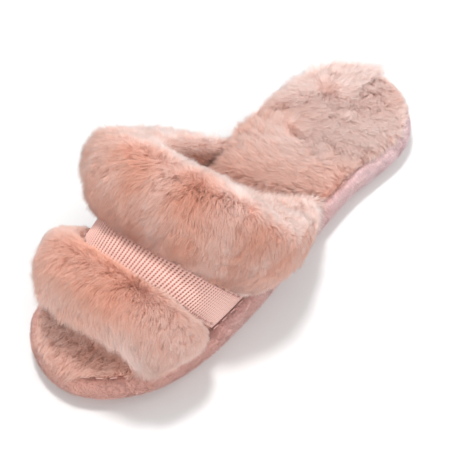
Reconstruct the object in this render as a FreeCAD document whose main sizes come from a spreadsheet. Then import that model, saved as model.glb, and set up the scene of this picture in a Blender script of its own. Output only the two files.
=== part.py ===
import FreeCAD, Part
import math
import os
import Sketcher

Vector = FreeCAD.Vector

# A left-foot slide slipper. Millimetres, +Z up, toe towards -Y and heel towards +Y, wearer's
# outer (lateral) side towards +X. The origin is under the middle of the sole, on the ground.

DRIVING = {
    # Sole outline: control points of a closed cubic curve, half widths from the centre line.
    "toe_reach": 136.5,
    "toe_shift": -1.9,
    "heel_reach": 140.0,
    "heel_shift": 0.8,
    "toe_station": -110.0,
    "tread_station": -78.0,
    "ball_station": -36.0,
    "waist_station": 14.0,
    "seat_station": 62.0,
    "heel_station": 102.0,
    "lateral_toe": 31.6,
    "lateral_tread": 40.6,
    "lateral_ball": 41.1,
    "lateral_waist": 37.1,
    "lateral_seat": 34.2,
    "lateral_heel": 43.8,
    "medial_toe": 43.4,
    "medial_tread": 37.9,
    "medial_ball": 40.9,
    "medial_waist": 37.9,
    "medial_seat": 34.2,
    "medial_heel": 38.5,
    # Sole layers: heights, thicknesses and how far each stands in from the outline.
    "outsole_inset": 6.0,
    "outsole_thick": 2.6,
    "plateau_inset": 16.4,
    "plateau_thick": 1.3,
    "groove_length": 40.0,
    "groove_width": 2.0,
    "groove_depth": 1.0,
    "groove_pitch": 8.0,
    "groove_count": 24,
    "wrap_inset": 0.0,
    "wrap_base": 2.6,
    "wrap_height": 13.4,
    "wrap_thick": 1.4,
    "wrap_lower_round": 6.0,
    "wrap_upper_round": 4.4,
    "wrap_lip_inset": 5.0,
    "wrap_margin_inset": 16.0,
    "midsole_inset": 1.6,
    "midsole_base": 4.0,
    "midsole_thick": 9.0,
    "midsole_lower_round": 4.6,
    "midsole_upper_round": 3.2,
    "board_inset": 5.6,
    "board_thick": 1.0,
    "pad_inset": 11.2,
    "pad_thick": 3.0,
    "plush_inset": 5.2,
    "plush_thick": 4.5,
    "plush_round": 3.0,
    "strap_slot_inset": 10.0,
    "strap_clear": 2.0,
    # Upper: inner face of the arch, from the front edge to the throat.
    "strap_inset": 9.1,
    "strap_base": 14.3,
    "front_side": -102.0,
    "front_crest": -112.0,
    "front_height": 41.0,
    "throat_side": 30.0,
    "throat_skew": 10.0,
    "front_skew": 9.0,
    "throat_crest": -36.0,
    "throat_height": 69.0,
    "crest_bow": 16.0,
    "arch_power": 3.3,
    "front_flare": 0.5,
    "throat_flare": 7.5,
    "lateral_sweep": 1.0,
    "medial_front_sweep": 3.0,
    "medial_throat_sweep": 0.95,
    "knit_front": 0.28,
    "knit_rear": 0.475,
    "lining_thick": 1.2,
    "foam_thick": 1.4,
    "knit_thick": 1.2,
    "fur_thick": 3.6,
    "filling_least": 0.5,
    "level_rise": 14.0,
    "roll_power": 2.6,
    "roll_clear": 0.8,
    "roll_rise": 12.0,
    "front_roll_lateral": 2.0,
    "front_roll_medial": 4.0,
    "front_roll_crest": 13.5,
    "front_roll_lean": -0.4,
    "rear_roll_lateral": 7.0,
    "rear_roll_medial": 12.0,
    "rear_roll_crest": 18.5,
    "rear_roll_lean": -0.35,
    # Sewing thread.
    "stitch_length": 3.2,
    "stitch_pitch": 6.0,
    "thread_clear": 0.2,
    "thread_radius": 0.35,
    "edge_seam_inset": 4.3,
    "band_seam_inset": 2.5,
}

STATIONS = ["toe", "tread", "ball", "waist", "seat", "heel"]
OUTLINE_POINTS = 1200 # points on the outline when it is read off as a polygon
LEVEL_WITHIN = 1e-4   # edges this close to a height lie at it
SKIN_GAP = 0.15       # keeps faces of neighbouring upper layers from crossing
SEAM_GAP = 0.4        # room for a seam between two strips of the upper
ARCH_COLUMNS = 45     # grid columns across the arch, from one side of the sole to the other
STRIP_ROWS = 13       # grid rows along the foot in each strip, closer together at its seams
SEAM_STEPS = 400      # fine steps across the arch that a seam's path is laid out with
SEAM_END_STEPS = 20   # steps left without stitches at each end of a seam

doc = FreeCAD.newDocument("house_slipper")
sheet = doc.addObject("Spreadsheet::Sheet", "Dimensions")
for row, (alias, value) in enumerate(DRIVING.items(), 1):
    sheet.set("A%d" % row, alias)
    sheet.set("B%d" % row, str(value))
    sheet.setAlias("B%d" % row, alias)
doc.recompute()


def size(alias):
    """The value of one driving dimension."""
    return float(sheet.get(alias))


def outline_poles():
    """Control points of the sole outline: place, aliases of x and y, sign of each alias."""
    poles = [("toe_shift", 1, "toe_reach", -1)]
    for name in STATIONS:
        poles.append(("lateral_" + name, 1, name + "_station", 1))
    poles.append(("heel_shift", 1, "heel_reach", 1))
    for name in reversed(STATIONS):
        poles.append(("medial_" + name, -1, name + "_station", 1))
    return poles


def pole_points():
    return [Vector(sx * size(x), sy * size(y), 0) for x, sx, y, sy in outline_poles()]


def closed_curve(points):
    """A closed uniform cubic B-spline on these control points."""
    return Part.BSplineCurve(points, None, None, True, 3, None, False)


def inward_directions(points):
    """At each control point, the direction that leads into the outline."""
    directions = []
    for index, point in enumerate(points):
        along = points[(index + 1) % len(points)] - points[index - 1]
        directions.append(Vector(-along.y, along.x, 0).normalize())
    return directions


def outline_sketch(body, name, inset):
    """The sole outline in a body's XY plane, each control point bound to the sheet and moved
    inwards by the inset."""
    points = pole_points()
    sketch = body.newObject("Sketcher::SketchObject", name)
    plane = [f for f in body.Origin.OriginFeatures if f.Role == "XY_Plane"][0]
    sketch.AttachmentSupport = (plane, "")
    sketch.MapMode = "FlatFace"
    curve = sketch.addGeometry(closed_curve(points), False)
    sketch.exposeInternalGeometry(curve)
    circles = [i for i, g in enumerate(sketch.Geometry) if isinstance(g, Part.Circle)]
    inward = inward_directions(points)
    for circle, (x, sx, y, sy), point, way in zip(circles, outline_poles(), points, inward):
        for kind, alias, sign, value, share in (
            ("DistanceX", x, sx, point.x, way.x),
            ("DistanceY", y, sy, point.y, way.y),
        ):
            held = sketch.addConstraint(Sketcher.Constraint(kind, -1, 1, circle, 3, value))
            bound = "%d * Dimensions.%s + %.4f * Dimensions.%s" % (sign, alias, share, inset)
            sketch.setExpression("Constraints[%d]" % held, bound)
    doc.recompute()
    return sketch


def layer(name, inset, thick, base=None):
    """A body that pads the outline, moved in by inset, to a thickness, standing at a height."""
    body = doc.addObject("PartDesign::Body", name)
    body.Label = name
    pad = body.newObject("PartDesign::Pad", name + "_pad")
    sketch = outline_sketch(body, name + "_outline", inset)
    pad.Profile = sketch
    pad.setExpression("Length", "Dimensions." + thick)
    if base:
        body.setExpression("Placement.Base.z", base)
    body.Tip = pad
    doc.recompute()
    return body, pad


def level_edges(feature, height):
    """Names of the edges of a feature that lie flat at a height."""
    names = []
    for index, edge in enumerate(feature.Shape.Edges, 1):
        box = edge.BoundBox
        if abs(box.ZMin - height) < LEVEL_WITHIN and abs(box.ZMax - height) < LEVEL_WITHIN:
            names.append("Edge%d" % index)
    return names


def round_level(body, base, name, height, radius):
    """Fillet the edges of base that lie at a height."""
    fillet = body.newObject("PartDesign::Fillet", name)
    fillet.Base = (base, level_edges(base, height))
    fillet.setExpression("Radius", "Dimensions." + radius)
    body.Tip = fillet
    doc.recompute()
    return fillet


def pillow(name, inset, thick, base, lower_round, upper_round):
    """A layer with its lower and upper edges rounded."""
    body, pad = layer(name, inset, thick, base)
    lower = round_level(body, pad, name + "_lower", 0.0, lower_round)
    round_level(body, lower, name + "_upper", size(thick), upper_round)
    return body


def boolean(kind, name, base, tool):
    """A Part boolean of two objects."""
    result = doc.addObject("Part::" + kind, name)
    result.Base = base
    result.Tool = tool
    result.Label = name
    doc.recompute()
    return result


# --- Sole -------------------------------------------------------------------------------------

def make_outsole():
    """The moulded bottom: a flat sheet with cross grooves under it, and a low plateau on top
    that fills the space inside the wrap's turned-in margin."""
    body, pad = layer("outsole", "outsole_inset", "outsole_thick")
    plane = [f for f in body.Origin.OriginFeatures if f.Role == "XY_Plane"][0]
    sketch = body.newObject("Sketcher::SketchObject", "first_groove")
    sketch.AttachmentSupport = (plane, "")
    sketch.MapMode = "FlatFace"
    half = size("groove_length") / 2
    start = -(size("groove_count") - 1) / 2 * size("groove_pitch")
    low = start - size("groove_width") / 2
    high = start + size("groove_width") / 2
    corners = [Vector(-half, low), Vector(half, low), Vector(half, high), Vector(-half, high)]
    for a, b in zip(corners, corners[1:] + corners[:1]):
        sketch.addGeometry(Part.LineSegment(a, b), False)
    groove = body.newObject("PartDesign::Pocket", "groove")
    groove.Profile = sketch
    groove.Reversed = True
    groove.setExpression("Length", "Dimensions.groove_depth")
    doc.recompute()
    assert groove.Shape.Volume < pad.Shape.Volume
    tread = body.newObject("PartDesign::LinearPattern", "tread")
    tread.Originals = [groove]
    axis = [f for f in body.Origin.OriginFeatures if f.Role == "Y_Axis"][0]
    tread.Direction = (axis, [""])
    tread.setExpression("Length", "Dimensions.groove_pitch * (Dimensions.groove_count - 1)")
    tread.setExpression("Occurrences", "Dimensions.groove_count")
    body.Tip = tread
    plateau = body.newObject("PartDesign::Pad", "plateau")
    plateau_sketch = outline_sketch(body, "plateau_outline", "plateau_inset")
    plateau.Profile = plateau_sketch
    plateau.setExpression("Length", "Dimensions.outsole_thick + Dimensions.plateau_thick")
    body.Tip = plateau
    doc.recompute()
    return body


def make_midsole():
    return pillow("midsole", "midsole_inset", "midsole_thick", "Dimensions.midsole_base",
                  "midsole_lower_round", "midsole_upper_round")


def make_side_wrap():
    """The strip round the sole's edge: a pillow-shaped skin, open inside its lip on top and
    inside its turned-in margin below."""
    outer = pillow("wrap_outside", "wrap_inset", "wrap_height", "Dimensions.wrap_base",
                   "wrap_lower_round", "wrap_upper_round")
    thick = "Dimensions.wrap_thick"
    inner, pad = layer("wrap_inside", "wrap_thick", "wrap_height", "Dimensions.wrap_base + " + thick)
    pad.setExpression("Length", "Dimensions.wrap_height - 2 * " + thick)
    doc.recompute()
    rounds = (
        ("wrap_inside_lower", 0.0, "wrap_lower_round"),
        ("wrap_inside_upper", size("wrap_height") - 2 * size("wrap_thick"), "wrap_upper_round"),
    )
    feature = pad
    for name, height, radius in rounds:
        feature = round_level(inner, feature, name, height, radius)
        feature.setExpression("Radius", "Dimensions.%s - %s" % (radius, thick))
        doc.recompute()
    mouth, _ = layer("wrap_mouth", "wrap_lip_inset", "wrap_height",
                     "Dimensions.wrap_base + Dimensions.wrap_height / 2")
    margin, _ = layer("wrap_margin", "wrap_margin_inset", "wrap_height")
    skin = boolean("Cut", "wrap_skin", outer, inner)
    open_top = boolean("Cut", "wrap_open_top", skin, mouth)
    return boolean("Cut", "side_wrap", open_top, margin)


def make_insole_board():
    base = "Dimensions.midsole_base + Dimensions.midsole_thick"
    return layer("insole_board", "board_inset", "board_thick", base)[0]


def board_top():
    """Expression of the height of the insole board's top face."""
    return "Dimensions.midsole_base + Dimensions.midsole_thick + Dimensions.board_thick"


def make_footbed_pad():
    return layer("footbed_pad", "pad_inset", "pad_thick", board_top())[0]


def slot_box(name, side, high):
    """A box over one half of the sole, from the strap's front edge back to a place given as an
    expression. side is 0 for the lateral half and 1 for the medial half."""
    low = "Dimensions.front_side - 2 * Dimensions.strap_clear"
    box = doc.addObject("Part::Box", name)
    box.setExpression("Length", "Dimensions.medial_toe + Dimensions.lateral_ball")
    box.setExpression("Width", "%s - (%s)" % (high, low))
    box.setExpression("Height", "2 * Dimensions.strap_base + 2 * Dimensions.plush_thick")
    box.setExpression("Placement.Base.x", "-%d * (Dimensions.medial_toe + Dimensions.lateral_ball)" % side)
    box.setExpression("Placement.Base.y", low)
    doc.recompute()
    return box


def plush_block(name, inset):
    """The footbed's outside at one inset, with a rounded upper edge."""
    body, pad = layer(name, inset, "plush_thick", board_top())
    round_level(body, pad, name + "_crown", size("plush_thick"), "plush_round")
    return body


def make_footbed_plush():
    """The plush sock: it fills the wrap's mouth except for a slot for the strap at each side,
    and is hollow under its crown for the footbed pad."""
    full = plush_block("plush_full", "plush_inset")
    core = plush_block("plush_core", "strap_slot_inset")
    lateral_end = "Dimensions.throat_side + Dimensions.strap_clear"
    medial_end = lateral_end + " + Dimensions.throat_skew"
    cleared = boolean("Cut", "plush_lateral_clear", full, slot_box("lateral_span", 0, lateral_end))
    ends = boolean("Cut", "plush_ends", cleared, slot_box("medial_span", 1, medial_end))
    whole = boolean("Fuse", "plush_whole", core, ends)
    hollow, _ = layer("plush_hollow", "pad_inset", "pad_thick", board_top())
    return boolean("Cut", "footbed_plush", whole, hollow)


# --- Upper ------------------------------------------------------------------------------------

OUTLINE = closed_curve(pole_points()).toShape().discretize(Number=OUTLINE_POINTS)


def sole_edges(y):
    """Where the sole outline crosses a line across the foot: medial x and lateral x."""
    crossings = []
    for a, b in zip(OUTLINE, OUTLINE[1:]):
        if (a.y - y) * (b.y - y) <= 0 and a.y != b.y:
            crossings.append(a.x + (b.x - a.x) * (y - a.y) / (b.y - a.y))
    return min(crossings), max(crossings)


def superellipse(turn):
    """A point of the arch's cross-section: how far across and how far up, each 0 to 1."""
    power = size("arch_power")
    cosine = math.cos(turn)
    sine = math.sin(turn)
    reach = (abs(cosine) ** power + abs(sine) ** power) ** (-1 / power)
    return reach * cosine, reach * sine


def along(front, throat, run):
    """The value at a place between the upper's front edge and its throat."""
    return size(front) + (size(throat) - size(front)) * run


def arch_point(run, turn):
    """A point of the upper's inner face. run goes from 0 at the front edge to 1 at the throat,
    turn from 0 at the lateral side of the sole over the foot to pi at the medial side."""
    across, lift = superellipse(turn)
    skew = along("front_skew", "throat_skew", run) * (1 - across) / 2
    side = along("front_side", "throat_side", run) + skew
    crest = along("front_crest", "throat_crest", run) + size("crest_bow") * run * (1 - run)
    height = along("front_height", "throat_height", run)
    if across > 0:
        power = size("lateral_sweep")
    else:
        power = along("medial_front_sweep", "medial_throat_sweep", run)
    medial, lateral = sole_edges(side)
    half = (lateral - medial) / 2 - size("strap_inset")
    x = (medial + lateral) / 2 + (half + along("front_flare", "throat_flare", run) * lift) * across
    y = side + (crest - side) * lift ** power
    z = size("strap_base") + (height - size("strap_base")) * lift
    return Vector(x, y, z)


def smooth_step(value):
    """0 below 0, 1 above 1, and a smooth rise between."""
    value = min(max(value, 0), 1)
    return value * value * (3 - 2 * value)


def arch_outward(run, turn):
    """The outward direction of the upper's inner face, turned level beside the sole."""
    step = 1e-4
    turn = min(max(turn, step), math.pi - step)
    along_run = arch_point(run + step, turn) - arch_point(run - step, turn)
    along_turn = arch_point(run, turn + step) - arch_point(run, turn - step)
    way = along_run.cross(along_turn).normalize()
    free = smooth_step((arch_point(run, turn).z - size("strap_base")) / size("level_rise"))
    return Vector(way.x, way.y * free, way.z * free).normalize()


def grid_surface(run_from, run_to, offset):
    """A smooth surface outside the inner face; offset(share, point, lift) gives its distance,
    with share 0 to 1 from run_from to run_to and lift 0 to 1 from the sole to the crest."""
    rows = []
    for i in range(STRIP_ROWS):
        share = (1 - math.cos(math.pi * i / (STRIP_ROWS - 1))) / 2
        run = run_from + (run_to - run_from) * share
        row = []
        for j in range(ARCH_COLUMNS):
            turn = math.pi * j / (ARCH_COLUMNS - 1)
            point = arch_point(run, turn)
            lift = superellipse(turn)[1]
            row.append(point + arch_outward(run, turn) * offset(share, point, lift))
        rows.append(row)
    surface = Part.BSplineSurface()
    surface.interpolate(rows)
    return surface


def solid_between(inner, outer):
    """The closed solid between two surfaces whose edges face each other."""
    faces = [inner.toShape(), outer.toShape()]
    u_low, u_high, v_low, v_high = inner.bounds()
    a_low, a_high, b_low, b_high = outer.bounds()
    for here, there in ((u_low, a_low), (u_high, a_high)):
        faces.append(Part.makeRuledSurface(inner.uIso(here).toShape(), outer.uIso(there).toShape()))
    for here, there in ((v_low, b_low), (v_high, b_high)):
        faces.append(Part.makeRuledSurface(inner.vIso(here).toShape(), outer.vIso(there).toShape()))
    shell = Part.Shell(faces)
    shell.sewShape()
    solid = Part.Solid(shell)
    if solid.Volume < 0:
        solid.reverse()
    return solid


def shape_feature(name, shape):
    feature = doc.addObject("Part::Feature", name)
    feature.Label = name
    feature.Shape = shape
    feature.Placement = FreeCAD.Placement()
    return feature


def strip(name, run_from, run_to, inner, outer):
    shape = solid_between(grid_surface(run_from, run_to, inner), grid_surface(run_from, run_to, outer))
    return shape_feature(name, shape)


def level(distance):
    """An offset that is the same all over a strip."""
    return lambda share, point, lift: distance


def swell(share, point, lift, roll):
    """How far the front or rear roll stands out, with nothing at its two seams and down beside
    the sole."""
    leant = share + size(roll + "_roll_lean") * share * (1 - share)
    fullness = 1 - abs(2 * leant - 1) ** size("roll_power")
    lip = size("wrap_base") + size("wrap_height")
    fullness *= smooth_step((point.z - lip - size("roll_clear")) / size("roll_rise"))
    side = "_roll_lateral" if point.x > 0 else "_roll_medial"
    return fullness * along(roll + side, roll + "_roll_crest", lift)


def make_upper():
    """Lining and foam over the whole upper, then the knit band between two stuffed fur rolls."""
    lining = size("lining_thick")
    foam = lining + size("foam_thick")
    knit = foam + size("knit_thick")
    seam = SEAM_GAP / (size("throat_side") - size("front_side"))
    front = size("knit_front")
    rear = size("knit_rear")
    parts = [
        strip("upper_lining", 0, 1, level(0), level(lining - SKIN_GAP)),
        strip("upper_foam", 0, 1, level(lining), level(foam - SKIN_GAP)),
        strip("knit_band", front + seam, rear - seam, level(foam), level(knit)),
    ]
    rolls = (
        ("front_fur_roll", "front_roll_filling", 0, front - seam, "front"),
        ("rear_fur_collar", "rear_collar_filling", rear + seam, 1, "rear"),
    )
    least = size("filling_least")
    for fur, filling, run_from, run_to, roll in rolls:
        stuffed = 1 - size("fur_thick") / size(roll + "_roll_crest")

        def cover_inside(share, point, lift):
            return foam + least + stuffed * swell(share, point, lift, roll)

        def filling_outside(share, point, lift):
            return cover_inside(share, point, lift) - SKIN_GAP

        def cover_outside(share, point, lift):
            return knit + swell(share, point, lift, roll)

        parts.append(strip(fur, run_from, run_to, cover_inside, cover_outside))
        parts.append(strip(filling, run_from, run_to, level(foam), filling_outside))
    return parts


# --- Sewing -----------------------------------------------------------------------------------

def stitch_row(name, points):
    """Separate stitches, one at each point, each laid towards the next point."""
    stitches = []
    for here, there in zip(points, points[1:]):
        way = (there - here).normalize()
        radius = size("thread_radius")
        stitches.append(Part.makeCylinder(radius, size("stitch_length"), here, way))
    return shape_feature(name, Part.makeCompound(stitches))


def make_edge_seam_thread():
    """The seam on the wrap's upper edge, all round the sole."""
    points = pole_points()
    inset = size("edge_seam_inset")
    moved = [p + way * inset for p, way in zip(points, inward_directions(points))]
    path = closed_curve(moved).toShape()
    count = int(path.Length / size("stitch_pitch"))
    top = size("wrap_base") + size("wrap_height") + size("thread_radius")
    return stitch_row("edge_seam_thread", [Vector(p.x, p.y, top) for p in path.discretize(Number=count)])


def make_band_thread(name, run):
    """The seam across the knit band beside one of the fur rolls."""
    knit = size("lining_thick") + size("foam_thick") + size("knit_thick")
    above = knit + size("thread_radius") + size("thread_clear")
    steps = range(SEAM_END_STEPS, SEAM_STEPS - SEAM_END_STEPS + 1)
    turns = [math.pi * i / SEAM_STEPS for i in steps]
    line = [arch_point(run, t) + arch_outward(run, t) * above for t in turns]
    path = Part.makePolygon(line)
    count = int(path.Length / size("stitch_pitch"))
    return stitch_row(name, path.discretize(Number=count))


# --- Assembly ---------------------------------------------------------------------------------

band_seam_run = size("band_seam_inset") / (size("throat_side") - size("front_side"))
pieces = [
    make_outsole(),
    make_midsole(),
    make_side_wrap(),
    make_insole_board(),
    make_footbed_pad(),
    make_footbed_plush(),
]
pieces += make_upper()
pieces += [
    make_edge_seam_thread(),
    make_band_thread("front_band_thread", size("knit_front") + band_seam_run),
    make_band_thread("rear_band_thread", size("knit_rear") - band_seam_run),
]
doc.recompute()

for item in doc.Objects:
    assert "Invalid" not in item.State and "Error" not in item.State, item.Label
for piece in pieces:
    assert not piece.Shape.isNull() and piece.Shape.isValid(), piece.Label

os.makedirs("parts", exist_ok=True)
for piece in pieces:
    piece.Shape.exportStep("parts/%s.step" % piece.Label)
    box = piece.Shape.BoundBox
    print("%-20s volume %9.1f mm3  x %6.1f..%5.1f  y %7.1f..%6.1f  z %5.1f..%5.1f" % (
        piece.Label, piece.Shape.Volume, box.XMin, box.XMax, box.YMin, box.YMax, box.ZMin, box.ZMax))
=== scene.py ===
import math
from collections import namedtuple

import bpy
import numpy as np
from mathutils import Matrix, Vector, kdtree
from mathutils.bvhtree import BVHTree


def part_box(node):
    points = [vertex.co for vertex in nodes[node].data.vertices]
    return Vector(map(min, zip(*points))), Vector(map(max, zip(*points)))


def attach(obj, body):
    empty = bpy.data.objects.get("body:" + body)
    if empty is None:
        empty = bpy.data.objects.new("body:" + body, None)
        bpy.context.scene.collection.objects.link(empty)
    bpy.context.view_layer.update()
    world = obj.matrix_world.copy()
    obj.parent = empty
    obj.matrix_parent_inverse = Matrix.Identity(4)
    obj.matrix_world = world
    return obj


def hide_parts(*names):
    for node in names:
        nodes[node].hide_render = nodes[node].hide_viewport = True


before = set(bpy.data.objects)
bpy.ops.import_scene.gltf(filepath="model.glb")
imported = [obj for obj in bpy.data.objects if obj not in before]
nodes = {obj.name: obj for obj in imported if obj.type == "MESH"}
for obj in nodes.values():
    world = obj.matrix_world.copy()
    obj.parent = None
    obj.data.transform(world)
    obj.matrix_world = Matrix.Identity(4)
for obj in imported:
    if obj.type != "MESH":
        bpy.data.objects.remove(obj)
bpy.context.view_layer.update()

# A left-foot slide slipper in the CAD frame: toe towards -Y, heel towards +Y, lateral side +X.
# Metres. Skins are the CAD solids softened by cloth simulation, and every pile is real strands.

MM = 0.001
TAU = 2 * math.pi
TINY = 1e-9                         # keeps divisions by a length safe
NUDGE = 1e-6                        # gives a side to a strand that stands quite straight
SOLE_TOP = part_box("footbed_plush")[1].z
ARCH_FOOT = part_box("knit_band")[0].z
WRAP_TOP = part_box("side_wrap")[1].z
TOE_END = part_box("side_wrap")[0].y
HEEL_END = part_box("side_wrap")[1].y
FOOTBED_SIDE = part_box("footbed_plush")[1].x
FRONT_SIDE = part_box("front_fur_roll")[1].x
REAR_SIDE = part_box("rear_fur_collar")[1].x

# Soft skins.
SKIN_VOXEL = 2.5 * MM               # grain of the rolls' and the footbed's skins
WRAP_VOXEL = 3.0 * MM
LINING_VOXEL = 1.3 * MM
CLOTH_MASS = 0.005
CLOTH_FRAMES = 20
SOLE_CLEARANCE = 8 * MM             # above the sole, an arched piece swells more and more
SWELL_FACING = (0.0, 0.5)           # how outward a face is where it starts to swell, and is free

# Strands.
HAIR_RINGS = (0.0, 0.45)            # places along a strand that carry a ring of three points
RING_TURNS = (0.0, TAU / 3, 2 * TAU / 3)
TAPER = 0.6                         # how a strand thins towards its tip
LOCK_STRANDS = 75                   # strands that share one lock
LOCK_SPREAD = 0.35                  # how far a lock's tips keep their distance from each other
STRANDS_PER_PIECE = 20000
STRAY = 0.21                        # random share in each strand's direction
UPRIGHT_SHARE = 0.2                 # share of a strand's length that keeps standing up
STANCE_OUT = 0.75                   # a strand leaves its root this much outwards
STANCE_OVER = 0.35                  # and this much along the combing
TONE_GRAIN = 0.13                   # difference in warmth from strand to strand
UV_MARGIN = 0.02                    # keeps strand coordinates off the edge of the colour ramps
WAVES = 6                           # sine waves in one smooth noise field
WAVE_RATE = 1.6                     # how fast they turn over the size of its features
WAVE_SUM = 3                        # their sum is divided by this

# The settings of one pile. density is strands per square millimetre. Each strand is length plus up
# to uneven long, and stands up by lift, give or take lift_spread. Its tip moves by the share gather
# towards a lock that is lock wide. The combing has swirls of comb_size and strength comb_share.
# tone is the warmth, 0 pale to 1 warm, with patches of tone_size and strength tone_spread.
Pile = namedtuple("Pile", "name slot density width length uneven lift lift_spread lock gather "
                          "comb_size comb_share comb_seed tone tone_size tone_spread tone_seed seed")
FRONT_FUR = Pile("front_fur", "fur", density=9.5, width=0.21 * MM, length=5.5 * MM, uneven=1.5 * MM,
                 lift=0.42, lift_spread=0.05, lock=3.2 * MM, gather=0.45,
                 comb_size=18 * MM, comb_share=0.25, comb_seed=3,
                 tone=0.42, tone_size=12 * MM, tone_spread=0.14, tone_seed=5, seed=101)
REAR_FUR = Pile("rear_fur", "fur", density=9.0, width=0.22 * MM, length=9.5 * MM, uneven=3.0 * MM,
                lift=0.38, lift_spread=0.06, lock=4.0 * MM, gather=0.55,
                comb_size=14 * MM, comb_share=0.35, comb_seed=11,
                tone=0.72, tone_size=10 * MM, tone_spread=0.2, tone_seed=17, seed=102)
FOOTBED_FUR = Pile("footbed_fur", "plush", density=8.0, width=0.22 * MM, length=9.0 * MM,
                   uneven=3.5 * MM, lift=0.36, lift_spread=0.07, lock=4.5 * MM, gather=0.5,
                   comb_size=32 * MM, comb_share=1.0, comb_seed=23,
                   tone=0.75, tone_size=16 * MM, tone_spread=0.2, tone_seed=31, seed=103)
# The lining's warm tone is painted shade: the warm bounced light in the hollow of the arch.
LINING_FUR = Pile("lining_fur", "plush", density=5.5, width=0.24 * MM, length=4.5 * MM,
                  uneven=1.5 * MM, lift=0.35, lift_spread=0.06, lock=2.0 * MM, gather=0.4,
                  comb_size=16 * MM, comb_share=0.4, comb_seed=41,
                  tone=0.9, tone_size=12 * MM, tone_spread=0.12, tone_seed=47, seed=104)
WRAP_NAP = Pile("wrap_nap", "velour", density=5.0, width=0.18 * MM, length=1.3 * MM,
                uneven=0.5 * MM, lift=0.35, lift_spread=0.1, lock=1.0 * MM, gather=0.3,
                comb_size=10 * MM, comb_share=1.0, comb_seed=61,
                tone=0.95, tone_size=8 * MM, tone_spread=0.12, tone_seed=67, seed=105)
ROOT_DEPTH = 1 * MM                 # strands root down to this far below the sole's or wrap's top
OPEN_SIDE = (0.45, 0.75)            # share of the half width where the medial fur stays long

# The knit.
RIBS = 78
COURSES = 14
STEPS_PER_STITCH = 6                # mesh steps across a rib, and along a course
RIB_HEIGHT = 0.12 * MM
HOLE_DEPTH = 0.4 * MM
KNIT_THICK = 0.8 * MM
KNIT_MARGIN = 0.001                 # keeps the knit's coordinates off the edge
KNIT_BACK = 0.02                    # the hidden inner face takes its colours from this narrow strip
FURROW_FROM = 0.35                  # the rib wave is above this in the furrow that holds openings
OPENING_FROM = 0.1                  # the course wave is above this where an opening is

# Sockets of the colour mix node, whose colour sockets have no names of their own.
MIX_COLORS = (6, 7)
MIX_RESULT = 2

# Colours.
# Strand colours darken from tip to root: the darker roots are painted shade deep in the pile.
SHADED_ROOT_PALE = (0.92, 0.63, 0.55)
MIDDLE_PALE = (0.96, 0.76, 0.70)
TIP_PALE = (0.97, 0.86, 0.83)
SHADED_ROOT_WARM = (0.72, 0.28, 0.17)
MIDDLE_WARM = (0.83, 0.41, 0.29)
TIP_WARM = (0.89, 0.51, 0.39)
# The nap's darker roots are painted shade deep in the pile as well.
NAP_SHADED_ROOT_PALE = (0.62, 0.44, 0.46)
NAP_TIP_PALE = (0.84, 0.68, 0.71)
NAP_SHADED_ROOT_WARM = (0.54, 0.28, 0.22)
NAP_TIP_WARM = (0.74, 0.44, 0.37)
# The velour is darker at the toe as painted shade and paler at the heel as painted light.
VELOUR_TOE_SHADED = (0.60, 0.31, 0.25)
VELOUR_BALL = (0.68, 0.40, 0.36)
VELOUR_HEEL_LIT = (0.80, 0.61, 0.62)
VELOUR_TWILL = (0.50, 0.25, 0.24)
# The knit's furrow and opening colours are painted shade in its recesses.
KNIT_RIDGE = (0.84, 0.56, 0.50)
KNIT_FURROW_SHADE = (0.66, 0.36, 0.30)
KNIT_OPENING_SHADE = (0.24, 0.07, 0.05)
FUR_BACKING = (0.70, 0.34, 0.26)
PLUSH_BACKING = (0.90, 0.56, 0.46)
THREAD = (0.60, 0.36, 0.33)
RUBBER = (0.42, 0.27, 0.25)
BOARD = (0.45, 0.33, 0.22)
FLOOR_PAPER = (0.70, 0.70, 0.70)
WHITE = (1.0, 1.0, 1.0)


# --- Materials --------------------------------------------------------------------------------

def new_material(name, color, roughness, sheen=0.0):
    """A Principled material; returns it with its node tree and shader."""
    material = bpy.data.materials.new(name)
    material.use_nodes = True
    tree = material.node_tree
    shader = tree.nodes["Principled BSDF"]
    shader.inputs["Base Color"].default_value = (*color, 1)
    shader.inputs["Roughness"].default_value = roughness
    shader.inputs["Specular IOR Level"].default_value = 0.2
    shader.inputs["Sheen Weight"].default_value = sheen
    shader.inputs["Sheen Roughness"].default_value = 0.5
    return material, tree, shader


def plain_material(name, color, roughness):
    return new_material(name, color, roughness)[0]


def color_ramp(tree, fac, stops):
    """A colour ramp driven by a socket, with stops as (place, colour)."""
    ramp = tree.nodes.new("ShaderNodeValToRGB")
    while len(ramp.color_ramp.elements) < len(stops):
        ramp.color_ramp.elements.new(0.5)
    for element, (place, color) in zip(ramp.color_ramp.elements, stops):
        element.position = place
        element.color = (*color, 1)
    tree.links.new(fac, ramp.inputs["Fac"])
    return ramp.outputs["Color"]


def mixed_color(tree, fac, first, second):
    """first where fac is 0, second where it is 1; each is a socket or a colour."""
    mix = tree.nodes.new("ShaderNodeMix")
    mix.data_type = "RGBA"
    tree.links.new(fac, mix.inputs["Factor"])
    for value, index in zip((first, second), MIX_COLORS):
        socket = mix.inputs[index]
        if isinstance(value, tuple):
            socket.default_value = (*value, 1)
        else:
            tree.links.new(value, socket)
    return mix.outputs[MIX_RESULT]


def math_node(tree, operation, *values):
    """One sum, product or comparison of sockets and plain numbers."""
    node = tree.nodes.new("ShaderNodeMath")
    node.operation = operation
    for value, socket in zip(values, node.inputs):
        if isinstance(value, (int, float)):
            socket.default_value = value
        else:
            tree.links.new(value, socket)
    return node.outputs[0]


def piece_coordinates(tree):
    """The UVs of a strand, tone across and root to tip upwards, or of the knit."""
    uv = tree.nodes.new("ShaderNodeUVMap")
    uv.uv_map = "OFBake"
    split = tree.nodes.new("ShaderNodeSeparateXYZ")
    tree.links.new(uv.outputs["UV"], split.inputs["Vector"])
    return split.outputs["X"], split.outputs["Y"]


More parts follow.
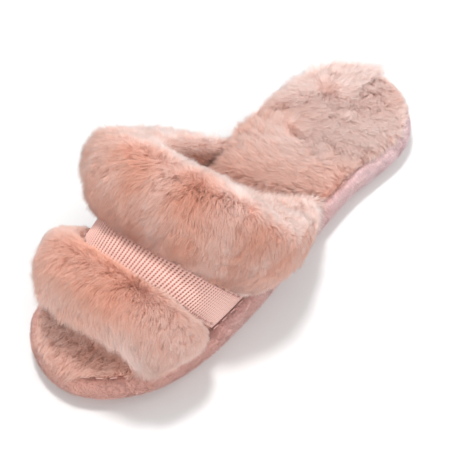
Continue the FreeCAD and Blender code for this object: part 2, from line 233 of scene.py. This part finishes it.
def pile_material(name, pale, warm):
    """Pile whose colour runs from root to tip, between a pale and a warm tone; the darker roots are painted
    shade deep in the pile.
    """
    tip_color = pale[-1][1]
    material, tree, shader = new_material(name, tip_color, roughness=0.75, sheen=0.12)
    tone, along = piece_coordinates(tree)
    pale_color = color_ramp(tree, along, pale)
    warm_color = color_ramp(tree, along, warm)
    tree.links.new(mixed_color(tree, tone, pale_color, warm_color), shader.inputs["Base Color"])
    return material


def fur_material():
    middle = 0.55
    return pile_material("fur",
                         pale=((0.0, SHADED_ROOT_PALE), (middle, MIDDLE_PALE), (1.0, TIP_PALE)),
                         warm=((0.0, SHADED_ROOT_WARM), (middle, MIDDLE_WARM), (1.0, TIP_WARM)))


def nap_material():
    return pile_material("velour_nap",
                         pale=((0.0, NAP_SHADED_ROOT_PALE), (1.0, NAP_TIP_PALE)),
                         warm=((0.0, NAP_SHADED_ROOT_WARM), (1.0, NAP_TIP_WARM)))


def velour_material():
    """Brushed velour with a fine diagonal twill; darker at the toe as painted shade, paler and cooler
    towards the heel as painted light.
    """
    material, tree, shader = new_material("velour", VELOUR_BALL, roughness=0.8, sheen=0.5)
    place = tree.nodes.new("ShaderNodeTexCoord").outputs["Object"]
    split = tree.nodes.new("ShaderNodeSeparateXYZ")
    tree.links.new(place, split.inputs["Vector"])
    toe_shade_heel_light = tree.nodes.new("ShaderNodeMapRange")
    tree.links.new(split.outputs["Y"], toe_shade_heel_light.inputs["Value"])
    toe_shade_heel_light.inputs["From Min"].default_value = TOE_END
    toe_shade_heel_light.inputs["From Max"].default_value = HEEL_END
    ball = 0.3
    stops = ((0.0, VELOUR_TOE_SHADED), (ball, VELOUR_BALL), (1.0, VELOUR_HEEL_LIT))
    base = color_ramp(tree, toe_shade_heel_light.outputs["Result"], stops)
    twill = tree.nodes.new("ShaderNodeTexWave")
    twill.bands_direction = "DIAGONAL"
    twill.inputs["Scale"].default_value = 320
    twill.inputs["Distortion"].default_value = 3
    twill.inputs["Detail"].default_value = 1
    tree.links.new(place, twill.inputs["Vector"])
    twill_strength = 0.32
    fade = math_node(tree, "MULTIPLY", twill.outputs["Fac"], twill_strength)
    tree.links.new(mixed_color(tree, fade, base, VELOUR_TWILL), shader.inputs["Base Color"])
    return material


def knit_material():
    """Pale ribs, with painted shade in the furrows between them and in a column of openings in each furrow.
    """
    material, tree, shader = new_material("rib_knit", KNIT_RIDGE, roughness=0.85, sheen=0.4)
    across, along = piece_coordinates(tree)
    rib_wave = math_node(tree, "COSINE", math_node(tree, "MULTIPLY", across, TAU * RIBS))
    course_wave = math_node(tree, "COSINE", math_node(tree, "MULTIPLY", along, TAU * COURSES))
    furrow = math_node(tree, "GREATER_THAN", rib_wave, FURROW_FROM)
    opening = math_node(tree, "GREATER_THAN", course_wave, OPENING_FROM)
    # Painted shade in the furrows between the ribs.
    shade = math_node(tree, "MULTIPLY_ADD", rib_wave, 0.5, 0.5)
    ribbed = mixed_color(tree, shade, KNIT_RIDGE, KNIT_FURROW_SHADE)
    # Painted shade in the openings.
    opening_shade_strength = 0.85
    opening_shade = math_node(tree, "MULTIPLY", math_node(tree, "MULTIPLY", furrow, opening), opening_shade_strength)
    tree.links.new(mixed_color(tree, opening_shade, ribbed, KNIT_OPENING_SHADE), shader.inputs["Base Color"])
    return material


# --- Arithmetic on many points at once --------------------------------------------------------

def unit(vectors):
    """The same directions, each of length 1."""
    return vectors / np.maximum(np.linalg.norm(vectors, axis=1, keepdims=True), TINY)


def column(values):
    """One value per point as a column, to scale vectors with."""
    return values[:, None]


def smooth_step(low, high, values):
    """0 up to low, 1 from high on, and a smooth rise between them."""
    share = np.clip((values - low) / (high - low), 0, 1)
    return share * share * (3 - 2 * share)


# --- Meshes -----------------------------------------------------------------------------------

def link(name, mesh, material):
    """Add a mesh to the scene as a smooth piece that rides on the slipper."""
    piece = bpy.data.objects.new(name, mesh)
    bpy.context.scene.collection.objects.link(piece)
    mesh.polygons.foreach_set("use_smooth", np.ones(len(mesh.polygons), bool))
    mesh.materials.clear()
    mesh.materials.append(material)
    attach(piece, "root")
    return piece


def vertex_values(mesh, attribute):
    values = np.empty(len(mesh.vertices) * 3)
    mesh.vertices.foreach_get(attribute, values)
    return values.reshape(-1, 3)


def positions(mesh):
    return vertex_values(mesh, "co")


def normals_of(mesh):
    return vertex_values(mesh, "normal")


def set_positions(mesh, values):
    mesh.vertices.foreach_set("co", values.ravel())
    mesh.update()


def triangles(mesh):
    """The three corners of each triangle of a mesh."""
    mesh.calc_loop_triangles()
    corners = np.empty(len(mesh.loop_triangles) * 3, int)
    mesh.loop_triangles.foreach_get("vertices", corners)
    return corners.reshape(-1, 3)


def surface_tree(node):
    """A search tree over the surface of a CAD node."""
    mesh = nodes[node].data
    return BVHTree.FromPolygons(positions(mesh).tolist(), triangles(mesh).tolist())


def merged_mesh(name, members):
    """One mesh with the faces of several CAD nodes."""
    points = []
    faces = []
    for member in members:
        mesh = nodes[member].data
        start = len(points)
        points.extend(positions(mesh).tolist())
        faces.extend([[start + i for i in face.vertices] for face in mesh.polygons])
    mesh = bpy.data.meshes.new(name)
    mesh.from_pydata(points, [], faces)
    return mesh


def evaluated_mesh(piece):
    graph = bpy.context.evaluated_depsgraph_get()
    return bpy.data.meshes.new_from_object(piece.evaluated_get(graph))


def with_modifier(piece, kind, **settings):
    """Replace the piece's mesh with the result of one modifier."""
    modifier = piece.modifiers.new(kind, kind)
    for key, value in settings.items():
        setattr(modifier, key, value)
    piece.data = evaluated_mesh(piece)
    piece.modifiers.clear()


def skin(name, members, voxel):
    """One closed skin round several touching CAD solids, as a temporary object."""
    piece = bpy.data.objects.new(name + "_blank", merged_mesh(name, members))
    bpy.context.scene.collection.objects.link(piece)
    with_modifier(piece, "REMESH", mode="VOXEL", voxel_size=voxel)
    return piece


def puff(piece, pressure, cap):
    """Swell a skin as cloth under pressure; returns its points and moves no longer than cap."""
    start = positions(piece.data)
    cloth = piece.modifiers.new("puff", "CLOTH")
    cloth.settings.use_pressure = True
    cloth.settings.uniform_pressure_force = pressure
    cloth.settings.mass = CLOTH_MASS
    cloth.settings.effector_weights.gravity = 0
    for number in range(1, CLOTH_FRAMES + 1):
        bpy.context.scene.frame_set(number)
    moved = positions(evaluated_mesh(piece)) - start
    piece.modifiers.clear()
    bpy.context.scene.frame_set(1)
    reach = np.linalg.norm(moved, axis=1, keepdims=True)
    moved *= np.minimum(1, cap / np.maximum(reach, TINY))
    return start, moved


def outward_share(points, normals):
    """How far each normal points away from the foot: 1 straight out, -1 straight in."""
    radial = np.stack([points[:, 0], np.zeros(len(points)), points[:, 2] - ARCH_FOOT], axis=1)
    return (unit(radial) * normals).sum(axis=1)


def stuffed(name, members, material, voxel, pressure, cap, arched):
    """A stuffed or foam piece in place of CAD nodes. An arched one swells only outwards."""
    piece = skin(name, members, voxel)
    start, moved = puff(piece, pressure, cap)
    if arched:
        free = smooth_step(*SWELL_FACING, outward_share(start, normals_of(piece.data)))
        clear = smooth_step(SOLE_TOP, SOLE_TOP + SOLE_CLEARANCE, start[:, 2])
        moved *= column(free * clear)
    set_positions(piece.data, start + moved)
    with_modifier(piece, "SUBSURF", levels=1)
    mesh = piece.data
    bpy.data.objects.remove(piece)
    shown = link(name, mesh, material)
    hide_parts(*members)
    return shown


def lining_cloth(members, material):
    """The plush lining with its foam, taut and therefore without swelling."""
    blank = skin("lining", members, LINING_VOXEL)
    mesh = blank.data
    bpy.data.objects.remove(blank)
    shown = link("lining_cloth", mesh, material)
    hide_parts(*members)
    return shown


# --- Pile -------------------------------------------------------------------------------------

def along_surface(directions, normals):
    """The part of each direction that lies in the surface, as a unit vector."""
    return unit(directions - normals * (directions * normals).sum(axis=1, keepdims=True))


def scattered(mesh, look, rng):
    """Random roots on a mesh, as dense as the look of the pile says: points and smooth normals."""
    points = positions(mesh)
    normals = normals_of(mesh)
    corners = triangles(mesh)
    a, b, c = (points[corners[:, i]] for i in range(3))
    area = np.linalg.norm(np.cross(b - a, c - a), axis=1) / 2
    count = int(area.sum() / MM ** 2 * look.density)
    chosen = rng.choice(len(area), count, p=area / area.sum())
    first = np.sqrt(rng.random(count))
    second = rng.random(count)
    weights = np.stack([1 - first, first * (1 - second), first * second], axis=1)
    picked = corners[chosen]
    place = (points[picked] * weights[:, :, None]).sum(axis=1)
    normal = (normals[picked] * weights[:, :, None]).sum(axis=1)
    return place, unit(normal)


def waves(points, scale, seed):
    """Smooth noise round 0 at each point, with features about scale metres wide."""
    rng = np.random.default_rng(seed)
    total = np.zeros(len(points))
    for _ in range(WAVES):
        way = rng.normal(size=3) / scale * WAVE_RATE
        total += np.sin(points @ way + rng.random() * TAU)
    return total / WAVE_SUM


def swirl(points, scale, seed):
    """A smooth field of random directions."""
    return np.stack([waves(points, scale, seed + axis) for axis in range(3)], axis=1)


def combed(look, way, roots, normals):
    """Directions along the surface that follow way, with the swirls of the pile's look."""
    swirls = swirl(roots, look.comb_size, look.comb_seed) * look.comb_share
    return along_surface(way + swirls, normals)


def tones(look, roots, base, rng):
    """Warmth of each strand: 0 pale, 1 warm."""
    patches = waves(roots, look.tone_size, look.tone_seed) * look.tone_spread
    return np.clip(base + patches + rng.normal(size=len(roots)) * TONE_GRAIN, 0, 1)


def from_band(points):
    """Distance from each point to the knit band."""
    tree = surface_tree("knit_band")
    return np.array([tree.find_nearest(point)[3] for point in points])


def gathered(look, roots, tips, rng):
    """How far each tip moves to join the lock that it belongs to."""
    count = max(len(roots) // LOCK_STRANDS, 1)
    leaders = rng.choice(len(roots), count, replace=False)
    tree = kdtree.KDTree(count)
    for index, leader in enumerate(leaders):
        tree.insert(roots[leader], index)
    tree.balance()
    nearest = np.array([leaders[tree.find(root)[1]] for root in roots])
    offset = roots - roots[nearest]
    near = np.exp(-(np.linalg.norm(offset, axis=1) / look.lock) ** 2)
    return (tips[nearest] + offset * LOCK_SPREAD - tips) * column(look.gather * near)


def strand_points(roots, rise, tips, width):
    """The points of tapered three-sided strands. Each follows a quadratic curve that leaves its
    root along rise and ends at its tip."""
    per_strand = len(RING_TURNS) * len(HAIR_RINGS) + 1
    points = np.empty((len(roots), per_strand, 3))
    span = tips - roots
    side = unit(np.cross(rise, span) + NUDGE)
    for ring, share in enumerate(HAIR_RINGS):
        middle = roots + rise * (share - share ** 2) * 2 + span * share ** 2
        heading = unit(rise * (1 - 2 * share) * 2 + span * 2 * share)
        other = unit(np.cross(heading, side))
        radius = width / 2 * (1 - share) ** TAPER
        for corner, turn in enumerate(RING_TURNS):
            spread = side * math.cos(turn) + other * math.sin(turn)
            points[:, len(RING_TURNS) * ring + corner] = middle + spread * radius
    points[:, -1] = tips
    return points


def strand_faces():
    """The faces of one strand as corner lists: quads between its rings, then its pointed end."""
    sides = len(RING_TURNS)
    tip = sides * len(HAIR_RINGS)
    faces = []
    for low in range(0, tip - sides, sides):
        for corner in range(sides):
            beside = low + (corner + 1) % sides
            faces.append([low + corner, beside, beside + sides, low + corner + sides])
    for corner in range(sides):
        faces.append([tip - sides + corner, tip - sides + (corner + 1) % sides, tip])
    return faces


def strand_mesh(name, roots, rise, tips, width, tone):
    """One mesh of strands, with tone and height on the strand as its UVs."""
    count = len(roots)
    points = strand_points(roots, rise, tips, width)
    faces = strand_faces()
    pattern = np.array([corner for face in faces for corner in face])
    sizes = np.tile([len(face) for face in faces], count)
    loops = (pattern[None, :] + points.shape[1] * np.arange(count)[:, None]).ravel()
    heights = np.array([share for share in HAIR_RINGS for _ in RING_TURNS] + [1.0])

    mesh = bpy.data.meshes.new(name)
    mesh.vertices.add(count * points.shape[1])
    mesh.vertices.foreach_set("co", points.ravel())
    mesh.loops.add(len(loops))
    mesh.loops.foreach_set("vertex_index", loops)
    mesh.polygons.add(len(sizes))
    mesh.polygons.foreach_set("loop_start", np.concatenate([[0], np.cumsum(sizes)[:-1]]))
    uv = mesh.uv_layers.new(name="OFBake")
    across = np.repeat(tone, len(pattern))
    upwards = np.tile(heights[pattern], count)
    place = np.clip(np.stack([across, upwards], axis=1), UV_MARGIN, 1 - UV_MARGIN)
    uv.data.foreach_set("uv", place.ravel())
    mesh.update(calc_edges=True)
    return mesh


def pile(look, material, roots, normals, comb, length, lift, tone, rng):
    """Strands from roots: they stand up by lift, then lie over along comb.
    Pieces hold at most STRANDS_PER_PIECE strands each, front ones first."""
    stray = rng.normal(size=roots.shape) * STRAY
    over = unit(comb * column(1 - lift) + normals * column(lift) + stray)
    upright = unit(normals * STANCE_OUT + comb * STANCE_OVER + stray)
    long = column(length)
    tips = roots + over * long * (1 - UPRIGHT_SHARE) + upright * long * UPRIGHT_SHARE
    tips += gathered(look, roots, tips, rng)
    rise = upright * long / 2
    order = np.argsort(roots[:, 1])
    parts = max(math.ceil(len(roots) / STRANDS_PER_PIECE), 1)
    for number, chosen in enumerate(np.array_split(order, parts)):
        title = "%s_%02d" % (look.name, number)
        mesh = strand_mesh(title, roots[chosen], rise[chosen], tips[chosen], look.width, tone[chosen])
        link(title, mesh, material)


def lengths(look, count, rng):
    return look.length + look.uneven * rng.random(count)


def lifts(look, count, rng):
    return look.lift + look.lift_spread * rng.normal(size=count)


def front_roll_pile(mesh, material):
    """Short dense fur combed towards the toe, warm in the middle, with a long pale fringe."""
    look = FRONT_FUR
    rng = np.random.default_rng(look.seed)
    roots, normals = scattered(mesh, look, rng)
    tucked_in = -0.1
    keep = (outward_share(roots, normals) > tucked_in) & (roots[:, 2] > SOLE_TOP - ROOT_DEPTH)
    roots, normals = roots[keep], normals[keep]
    count = len(roots)
    sideways = roots[:, 0] / FRONT_SIDE
    frontal = -normals[:, 1]
    fringe_facing = (0.25, 0.75)
    edge_facing = (0.75, 1.0)
    medial_share = (0.5, 1.0)
    crown_share = (0.2, 1.0)
    trimmed_strip = 9 * MM
    fringe = smooth_step(*fringe_facing, frontal)
    front_edge = smooth_step(*edge_facing, frontal)
    medial = smooth_step(*medial_share, -sideways)
    open_side = smooth_step(*OPEN_SIDE, -sideways)
    crown = 1 - smooth_step(*crown_share, abs(sideways))
    beside_band = 1 - np.maximum(smooth_step(0.0, trimmed_strip, from_band(roots)), open_side)

    fan = 0.55
    droop = 0.35
    side_droop = 0.5
    way = np.stack([fan * sideways, np.full(count, -1.0), -droop - side_droop * abs(sideways)], axis=1)
    comb = combed(look, way, roots, normals)

    fringe_length = 5.0 * MM
    band_trim = 0.5
    medial_trim = 0.42
    length = lengths(look, count, rng) + fringe_length * fringe
    length *= (1 - band_trim * beside_band) * (1 - medial_trim * medial)

    fringe_drop = 0.18
    medial_drop = 0.12
    open_side_rise = 0.08
    lift = lifts(look, count, rng)
    lift += open_side_rise * open_side - fringe_drop * fringe - medial_drop * medial

    crown_warmth = 0.55
    edge_fade = 0.4
    tone = tones(look, roots, look.tone + crown_warmth * crown - edge_fade * front_edge, rng)
    pile(look, material, roots, normals, comb, length, lift, tone, rng)


def rear_collar_pile(mesh, material):
    """Long fur combed towards the toe in locks, and back over the rim at the throat."""
    look = REAR_FUR
    rng = np.random.default_rng(look.seed)
    roots, normals = scattered(mesh, look, rng)
    outward = outward_share(roots, normals)
    tucked_in = -0.15
    facing_throat = 0.2
    facing_foot = -0.75
    throat_face = (normals[:, 1] > facing_throat) & (outward > facing_foot)
    keep = ((outward > tucked_in) | throat_face) & (roots[:, 2] > SOLE_TOP - ROOT_DEPTH)
    roots, normals = roots[keep], normals[keep]
    count = len(roots)
    sideways = roots[:, 0] / REAR_SIDE
    rim_facing = (0.0, 0.7)
    lateral_share = (0.65, 0.95)
    pale_height = 22 * MM
    trimmed_strip = 16 * MM
    rim = smooth_step(*rim_facing, normals[:, 1])
    lateral = smooth_step(*lateral_share, sideways)
    open_side = smooth_step(*OPEN_SIDE, -sideways)
    low_part = 1 - smooth_step(SOLE_TOP, SOLE_TOP + pale_height, roots[:, 2])
    beside_band = 1 - np.maximum(smooth_step(0.0, trimmed_strip, from_band(roots)), open_side)

    fan = 0.35
    droop = 0.5
    back_fan = 0.2
    back_run = 0.7
    back_rise = 0.5
    forwards = np.stack([fan * sideways, np.full(count, -1.0), -droop * (1 + abs(sideways))], axis=1)
    backwards = np.stack([back_fan * sideways, np.full(count, back_run), np.full(count, back_rise)], axis=1)
    way = forwards * column(1 - rim) + backwards * column(rim)
    comb = combed(look, way, roots, normals)

    rim_shorter = 4.0 * MM
    band_trim = 0.6
    lateral_trim = 0.35
    length = lengths(look, count, rng) - rim_shorter * rim
    length *= (1 - band_trim * beside_band) * (1 - lateral_trim * lateral)

    rim_rise = 0.08
    lateral_drop = 0.14
    lift = lifts(look, count, rng) + rim_rise * rim - lateral_drop * lateral

    rim_fade = 0.5
    low_fade = 0.4
    tone = tones(look, roots, look.tone - rim_fade * rim - low_fade * low_part, rng)
    pile(look, material, roots, normals, comb, length, lift, tone, rng)


def footbed_pile(mesh, material):
    """Long soft plush over the whole footbed, brushed into swirls and over its medial edge."""
    look = FOOTBED_FUR
    rng = np.random.default_rng(look.seed)
    roots, normals = scattered(mesh, look, rng)
    facing_up = 0.1
    plush_depth = 3 * MM
    keep = (normals[:, 2] > facing_up) & (roots[:, 2] > SOLE_TOP - plush_depth)
    roots, normals = roots[keep], normals[keep]
    count = len(roots)
    lateral = roots[:, 0] > 0
    edge_share = (0.55, 0.95)
    toe_full = TOE_END + 20 * MM
    toe_from = TOE_END + 45 * MM
    heel_from = HEEL_END - 45 * MM
    heel_full = HEEL_END - 15 * MM
    paler_from = 10 * MM
    palest_at = HEEL_END - 30 * MM
    edge = smooth_step(*edge_share, abs(roots[:, 0]) / FOOTBED_SIDE)
    toe = 1 - smooth_step(toe_full, toe_from, roots[:, 1])
    heel = smooth_step(heel_from, heel_full, roots[:, 1])
    behind_arch = smooth_step(paler_from, palest_at, roots[:, 1])

    toe_sweep = 1.4
    lateral_heel_sweep = 0.3
    medial_heel_sweep = 1.4
    lateral_aside = -0.4
    medial_aside = -0.5
    aside = np.where(lateral, lateral_aside, medial_aside) * edge
    behind = np.where(lateral, lateral_heel_sweep, medial_heel_sweep) * heel - toe_sweep * toe
    way = np.stack([aside, behind, np.zeros(count)], axis=1)
    comb = combed(look, way, roots, normals)

    toe_shorter = 3.5 * MM
    edge_trim = 0.42
    length = lengths(look, count, rng) - toe_shorter * toe
    length *= 1 - edge_trim * np.maximum(edge, heel * lateral)
    lift = lifts(look, count, rng)

    heel_fade = 0.62
    toe_fade = 0.15
    tone = tones(look, roots, look.tone - heel_fade * behind_arch - toe_fade * toe, rng)
    pile(look, material, roots, normals, comb, length, lift, tone, rng)


def throat_line(mesh, points):
    """How far back the arch reaches at each point's height, on the point's own side."""
    own = positions(mesh)
    level_count = 24
    level_reach = 3 * MM
    below_crown = 2 * MM
    levels = np.linspace(own[:, 2].min(), own[:, 2].max() - below_crown, level_count)
    line = np.empty(len(points))
    for side in (-1, 1):
        arm = own[own[:, 0] * side > 0]
        reach = [arm[abs(arm[:, 2] - level) < level_reach, 1].max() for level in levels]
        here = points[:, 0] * side > 0
        line[here] = np.interp(points[here, 2], levels, reach)
    return line


def lining_pile(mesh, material):
    """Plush inside the arch and over its edges, longer and paler beside the throat. Its warm tone is
    painted shade: the warm bounced light in the hollow.
    """
    look = LINING_FUR
    rng = np.random.default_rng(look.seed)
    roots, normals = scattered(mesh, look, rng)
    facing_in = 0.1
    facing_toe = -0.75
    facing_throat = 0.3
    inside = outward_share(roots, normals) < facing_in
    edge = (normals[:, 1] < facing_toe) | (normals[:, 1] > facing_throat)
    keep = (inside | edge) & (roots[:, 2] > SOLE_TOP)
    roots, normals = roots[keep], normals[keep]
    count = len(roots)
    rim_from = -9 * MM
    rim_full = -2 * MM
    past_throat = roots[:, 1] - throat_line(mesh, roots)
    rim = smooth_step(rim_from, rim_full, past_throat)

    back_and_down = np.array([0.0, 0.6, -0.5])
    comb = combed(look, back_and_down, roots, normals)
    rim_longer = 3.0 * MM
    rim_rise = 0.1
    # The hollow's painted shade gives way to the paler colour at the rim.
    rim_fade = 0.65
    length = lengths(look, count, rng) + rim_longer * rim
    lift = lifts(look, count, rng) + rim_rise * rim
    tone = tones(look, roots, look.tone - rim_fade * rim, rng)
    pile(look, material, roots, normals, comb, length, lift, tone, rng)


def wrap_nap(mesh, material):
    """The velour's very short nap on the sole's edge, darker and warmer at the toe as painted shade, cooler
    towards the heel as painted light.
    """
    look = WRAP_NAP
    rng = np.random.default_rng(look.seed)
    roots, normals = scattered(mesh, look, rng)
    facing_aside = 0.35
    nap_from = 5 * MM
    wall = (np.hypot(normals[:, 0], normals[:, 1]) > facing_aside) & (roots[:, 2] > nap_from)
    keep = wall | (roots[:, 2] > WRAP_TOP - ROOT_DEPTH)
    roots, normals = roots[keep], normals[keep]
    count = len(roots)
    # The nap pales towards the heel as painted light and is darker at the toe as painted shade.
    most_lit_at = HEEL_END - 40 * MM
    toe_shade_heel_light = smooth_step(TOE_END, most_lit_at, roots[:, 1])

    comb = combed(look, np.zeros(3), roots, normals)
    length = lengths(look, count, rng)
    lift = lifts(look, count, rng)
    heel_fade = 0.9
    tone = tones(look, roots, look.tone - heel_fade * toe_shade_heel_light, rng)
    pile(look, material, roots, normals, comb, length, lift, tone, rng)


# --- Knit band --------------------------------------------------------------------------------

def band_grid(node, columns, rows):
    """Points on the outer face of an arched CAD node: columns across the foot, rows along it.
    They are found by looking in at the node from all round the arch."""
    tree = surface_tree(node)
    low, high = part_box(node)
    middle = (low.x + high.x) / 2
    far = 200 * MM
    samples = 120
    halvings = 12
    foot_height = 2 * MM
    inset = 0.02 * MM

    def look(turn, y):
        way = Vector((math.cos(turn), 0, math.sin(turn)))
        return tree.ray_cast(Vector((middle, y, low.z)) + way * far, -way, far)[0]

    def edge(turn, y_in, y_out):
        for _ in range(halvings):
            y = (y_in + y_out) / 2
            if look(turn, y) is None:
                y_out = y
            else:
                y_in = y
        return y_in

    grid = []
    foot_turn = math.atan2(foot_height, (high.x - low.x) / 2)
    for turn in np.linspace(foot_turn, math.pi - foot_turn, columns):
        found = [y for y in np.linspace(low.y - MM, high.y + MM, samples) if look(turn, y) is not None]
        front = edge(turn, found[0], found[0] - MM) + inset
        rear = edge(turn, found[-1], found[-1] + MM) - inset
        grid.append([list(look(turn, y)) for y in np.linspace(front, rear, rows)])
    return np.array(grid)


def evenly_spaced(grid):
    """The same grid with its columns moved to equal distances across the foot."""
    steps = np.linalg.norm(np.diff(grid, axis=0), axis=2).mean(axis=1)
    travelled = np.concatenate([[0], np.cumsum(steps)])
    wanted = np.linspace(0, travelled[-1], len(grid))
    moved = np.empty_like(grid)
    for row in range(grid.shape[1]):
        for axis in range(3):
            moved[:, row, axis] = np.interp(wanted, travelled, grid[:, row, axis])
    return moved


def strip_faces(columns, rows):
    """The faces of a closed strip: its outer and inner grids, and the four borders between them."""
    count = columns * rows
    faces = []
    for line in range(columns - 1):
        for row in range(rows - 1):
            outer = line * rows + row
            inner = count + outer
            faces.append([outer, outer + 1, outer + rows + 1, outer + rows])
            faces.append([inner, inner + rows, inner + rows + 1, inner + 1])
    front = range(0, count, rows)
    rear = range(rows - 1, count, rows)
    first = range(rows)
    last = range(count - rows, count)
    for border, turned in ((front, True), (rear, False), (first, False), (last, True)):
        for here, beside in zip(border, border[1:]):
            quad = [here, beside, count + beside, count + here]
            faces.append(quad[::-1] if turned else quad)
    return faces


def knit_band(material):
    """The band as a closed strip of rib knit: round ribs, and a dent at each opening."""
    columns = RIBS * STEPS_PER_STITCH + 1
    rows = COURSES * STEPS_PER_STITCH + 1
    face = evenly_spaced(band_grid("knit_band", columns, rows))
    across, along = np.meshgrid(np.linspace(0, 1, columns), np.linspace(0, 1, rows), indexing="ij")
    rib_wave = np.cos(TAU * RIBS * across)
    course_wave = np.cos(TAU * COURSES * along)
    dents = HOLE_DEPTH * (rib_wave > FURROW_FROM) * np.clip(course_wave, 0, 1)
    outward = np.cross(np.gradient(face, axis=1), np.gradient(face, axis=0))
    outward /= np.linalg.norm(outward, axis=2, keepdims=True)
    outer = face - outward * (RIB_HEIGHT * (1 + rib_wave) + dents)[:, :, None]
    inner = face - outward * KNIT_THICK

    mesh = bpy.data.meshes.new("knit_strip")
    points = np.concatenate([outer.reshape(-1, 3), inner.reshape(-1, 3)])
    mesh.from_pydata(points.tolist(), [], strip_faces(columns, rows))
    outer_place = np.stack([across, along], axis=2).reshape(-1, 2)
    inner_place = outer_place * [1, KNIT_BACK]
    corners = np.empty(len(mesh.loops), int)
    mesh.loops.foreach_get("vertex_index", corners)
    place = np.concatenate([outer_place, inner_place])[corners]
    uv = mesh.uv_layers.new(name="OFBake")
    uv.data.foreach_set("uv", np.clip(place, KNIT_MARGIN, 1 - KNIT_MARGIN).ravel())
    piece = link("knit_strip", mesh, material)
    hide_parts("knit_band")


# --- The slipper ------------------------------------------------------------------------------

fur = fur_material()
nap = nap_material()
fur_backing = plain_material("fur_backing", FUR_BACKING, roughness=0.95)
plush_backing = plain_material("plush_backing", PLUSH_BACKING, roughness=0.95)
front_roll = stuffed("front_roll", ["front_fur_roll", "front_roll_filling"], fur_backing,
                     voxel=SKIN_VOXEL, pressure=16, cap=2.5 * MM, arched=True)
rear_collar = stuffed("rear_collar", ["rear_fur_collar", "rear_collar_filling"], fur_backing,
                      voxel=SKIN_VOXEL, pressure=8, cap=2 * MM, arched=True)
footbed = stuffed("footbed_cushion", ["footbed_plush", "footbed_pad"], plush_backing,
                  voxel=SKIN_VOXEL, pressure=0.5, cap=1.2 * MM, arched=False)
edge_wrap = stuffed("edge_wrap", ["side_wrap", "midsole"], velour_material(),
                    voxel=WRAP_VOXEL, pressure=0.7, cap=1.2 * MM, arched=False)
lining = lining_cloth(["upper_lining", "upper_foam"], fur_backing)
knit_band(knit_material())

front_roll_pile(front_roll.data, fur)
rear_collar_pile(rear_collar.data, fur)
footbed_pile(footbed.data, fur)
lining_pile(lining.data, fur)
wrap_nap(edge_wrap.data, nap)

thread = plain_material("thread", THREAD, roughness=0.6)
finishes = {
    "outsole": plain_material("outsole_rubber", RUBBER, roughness=0.7),
    "insole_board": plain_material("board", BOARD, roughness=0.9),
    "edge_seam_thread": thread,
    "front_band_thread": thread,
    "rear_band_thread": thread,
}
for name, material in finishes.items():
    nodes[name].data.materials.clear()
    nodes[name].data.materials.append(material)


# --- Camera, floor and light ------------------------------------------------------------------

def aimed(name, data, place, back):
    """Put a camera or a lamp at place, looking against the direction back."""
    piece = bpy.data.objects.new(name, data)
    piece.location = place
    piece.rotation_euler = back.to_track_quat("Z", "Y").to_euler()
    bpy.context.scene.collection.objects.link(piece)
    return piece


def camera(azimuth, elevation, distance, target, lens):
    """A camera that looks at target; azimuth counts from the toe's side towards the lateral side."""
    data = bpy.data.cameras.new("camera")
    data.lens = lens
    data.clip_end = 10
    turn = math.radians(azimuth)
    tilt = math.radians(elevation)
    level = math.cos(tilt)
    back = Vector((math.sin(turn) * level, -math.cos(turn) * level, math.sin(tilt)))
    bpy.context.scene.camera = aimed("camera", data, target + back * distance, back)


def area_light(name, place, side, power):
    """A square lamp that looks at the middle of the slipper."""
    data = bpy.data.lights.new(name, "AREA")
    data.size = side
    data.energy = power
    aimed(name, data, Vector(place), Vector(place) - LIT_POINT)


def floor(reach):
    mesh = bpy.data.meshes.new("floor")
    corners = [(-reach, -reach, 0), (reach, -reach, 0), (reach, reach, 0), (-reach, reach, 0)]
    mesh.from_pydata(corners, [], [(0, 1, 2, 3)])
    mesh.materials.append(plain_material("floor_paper", FLOOR_PAPER, roughness=0.9))
    piece = bpy.data.objects.new("floor", mesh)
    bpy.context.scene.collection.objects.link(piece)


def surroundings(strength):
    world = bpy.data.worlds.new("studio")
    world.use_nodes = True
    background = world.node_tree.nodes["Background"]
    background.inputs["Color"].default_value = (*WHITE, 1)
    background.inputs["Strength"].default_value = strength
    bpy.context.scene.world = world


LIT_POINT = Vector((0, 0, 0.03))
VIEW_POINT = Vector((0.0091, -0.0212, 0.030))
camera(azimuth=36.6, elevation=46.0, distance=0.75, target=VIEW_POINT, lens=128.5)
area_light("key", (-0.13, -0.03, 1.3), side=0.22, power=11.5)
area_light("front_fill", (0.65, -1.05, 0.6), side=0.8, power=8)
area_light("back_fill", (0.6, 1.0, 0.55), side=0.8, power=5.5)
floor(reach=4.0)
surroundings(strength=0.75)
bpy.context.scene.view_settings.view_transform = "Standard"
